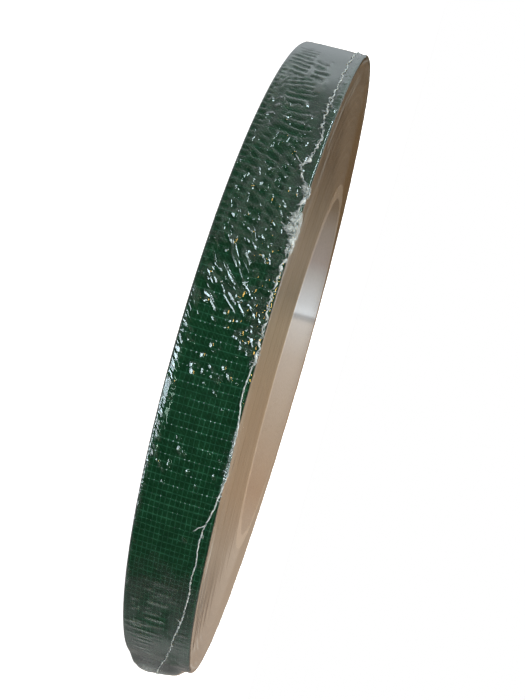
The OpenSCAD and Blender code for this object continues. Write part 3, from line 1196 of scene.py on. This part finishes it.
def tone(colour, gain=1.0):
    """A colour as it looks on a screen, 0 to 255, as scene-linear light."""
    return tuple(gain * (c / 12.92 if c <= 0.04045 else ((c + 0.055) / 1.055) ** 2.4)
                 for c in (value / 255 for value in colour))


def soft_step(n, value, low, high):
    return n.add("MapRange", 0, {"interpolation_type": "SMOOTHSTEP"}, Value=value,
                 **{"From Min": low, "From Max": high})


def by_azimuth(n, angle, rows, span):
    """A colour from an angle, by rows of azimuth and colour that reach a span either way."""
    reach = math.radians(span)
    place = n.add("MapRange", Value=angle, **{"From Min": -reach, "From Max": reach})
    return n.ramp(place, [((azimuth + span) / (2 * span), colour) for azimuth, colour in rows])


def light_around(n, from_front, elevation):
    """Soft light from all round, dimmer overhead, with a pale floor under it."""
    rows = [(azimuth, tuple(c * strength for c in colour)) for azimuth, colour, strength in AROUND]
    level = n.math("SUBTRACT", 1.0, n.times(0.75, soft_step(n, elevation, 18, 60)))
    total = n.vector("SCALE", by_azimuth(n, from_front, rows, 180), Scale=level)
    return n.mix(soft_step(n, elevation, -16, -50), total, FLOOR_GLOW)


def light_behind(n, from_back, elevation):
    """The tones behind the roll, and where they stand."""
    low, high, far = (by_azimuth(n, from_back, [(a, tone(c, BEHIND_GAIN)) for a, c in rows], BEHIND_SPAN)
                      for rows in (BEHIND_LOW, BEHIND_HIGH, BEHIND_FAR))
    tones = n.mix(soft_step(n, elevation, 5.4, 7.2), low, high)
    tones = n.mix(soft_step(n, elevation, 2.0, 3.4), far, tones)
    tones = n.mix(soft_step(n, elevation, 11.5, 14.5), tones, (*tone(ABOVE_BEHIND), 1))
    sides = soft_step(n, n.math("ABSOLUTE", from_back), math.radians(34), math.radians(26))
    heights = n.times(soft_step(n, elevation, 30, 18), soft_step(n, elevation, -6, -3.5))
    return tones, n.times(sides, heights)


def lamp_light(n, ray, azimuth, height, inner, outer, colour, strength):
    dot = n.vector("DOT_PRODUCT", ray, 1, i1=direction(azimuth, height))
    near = soft_step(n, dot, math.cos(math.radians(outer)), math.cos(math.radians(inner)))
    return n.vector("SCALE", tuple(c * strength for c in colour), Scale=near)


def make_world():
    world = bpy.data.worlds.new("studio")
    bpy.context.scene.world = world
    world.use_nodes = True
    n = Nodes(world.node_tree)
    ray = n.vector("NORMALIZE", n.add("TexCoord"))
    x, y, z = n.split(ray)
    elevation = n.times(n.math("ARCSINE", z), 180 / math.pi)
    around = light_around(n, n.math("ARCTAN2", x, n.times(y, -1.0)), elevation)
    behind, share = light_behind(n, n.math("ARCTAN2", x, y), elevation)
    total = n.mix(share, around, behind)
    for lamp in LAMPS:
        total = n.vector("ADD", total, i1=lamp_light(n, ray, *lamp))
    white = n.add("Background", Color=(1, 1, 1, 1), Strength=1.0)  # all that the camera itself sees
    studio = n.add("Background", Color=total, Strength=1.0)
    n.finish(n.add("MixShader", Fac=n.add("LightPath"), i1=studio, i2=white), "World")


def make_floor():
    half, drop = 6, 0.00005
    corners = [(x * half, y * half, -drop) for x, y in ((-1, -1), (1, -1), (1, 1), (-1, 1))]
    floor = new_mesh("studio_floor", corners, [(0, 1, 2, 3)])
    made, n = material("pale floor")
    matte = n.add("BsdfDiffuse", Color=(0.5, 0.5, 0.5, 1))
    glow = n.add("Emission", Color=(1, 1, 1, 1), Strength=n.add("LightPath"))
    n.finish(n.add("AddShader", i0=matte, i1=glow))
    dress(floor, made)
    floor.visible_glossy = False


def make_light(name, place, size, power, colour=(1, 1, 1)):
    """A round lamp that lights the roll but can't be seen or mirrored."""
    data = bpy.data.lights.new(name, "AREA")
    data.shape, data.size, data.energy, data.color = "DISK", size, power, colour
    lamp = bpy.data.objects.new(name, data)
    lamp.location = place
    lamp.rotation_euler = (-Vector(place)).to_track_quat("-Z", "Y").to_euler()
    lamp.visible_camera = False
    lamp.visible_glossy = False
    bpy.context.scene.collection.objects.link(lamp)


# ---- the camera

CAMERA_REACH = 2.7151  # how far it is from the roll's middle, in radii of the film
CAMERA_LIFT = 5.724  # how high it is seen from there, in degrees
CAMERA_TURN = 15.934  # how far the roll's axis is turned up from level in the picture, in degrees
AIM_RIGHT, AIM_UP = -0.0026, 0.01  # how far it looks past the middle, along the roll's axis and across it
LENS, SENSOR = 41.6, 36


def make_camera():
    """The camera sees the roll almost edge-on, turned so that the roll's axis points to the right."""
    centre = Vector((0, 0, ROLL_H / 2 * MM))
    place = centre + CAMERA_REACH * FILM_R * MM * Vector(direction(0, CAMERA_LIFT))
    ahead = (centre - place).normalized()
    axis = Vector((0, 0, 1))
    right = (axis - axis.dot(ahead) * ahead).normalized()
    ahead = (ahead + AIM_RIGHT * right + AIM_UP * right.cross(ahead)).normalized()
    right = (right - right.dot(ahead) * ahead).normalized()
    up = right.cross(ahead)
    c, s = math.cos(math.radians(CAMERA_TURN)), math.sin(math.radians(CAMERA_TURN))
    data = bpy.data.cameras.new("camera")
    data.lens, data.sensor_width = LENS, SENSOR
    data.clip_start = 0.01
    camera = bpy.data.objects.new("camera", data)
    turned = Matrix((c * right + s * up, c * up - s * right, -ahead)).transposed().to_4x4()
    camera.matrix_world = Matrix.Translation(place) @ turned
    bpy.context.scene.collection.objects.link(camera)
    bpy.context.scene.camera = camera


make_world()
make_floor()
make_light("overhead", (0.05, -0.10, 0.80), 0.8, 8.5)
make_light("back", (0.30, 0.75, 0.30), 0.7, 10.0, (1.0, 0.99, 0.97))
make_light("key", (-0.25, -0.75, 0.45), 0.7, 7.0, (0.97, 0.99, 1.0))
make_light("fill", (0.65, -0.50, 0.30), 0.6, 3.3, (1.0, 0.96, 0.93))
make_camera()
bpy.context.scene.view_settings.view_transform = "Standard"
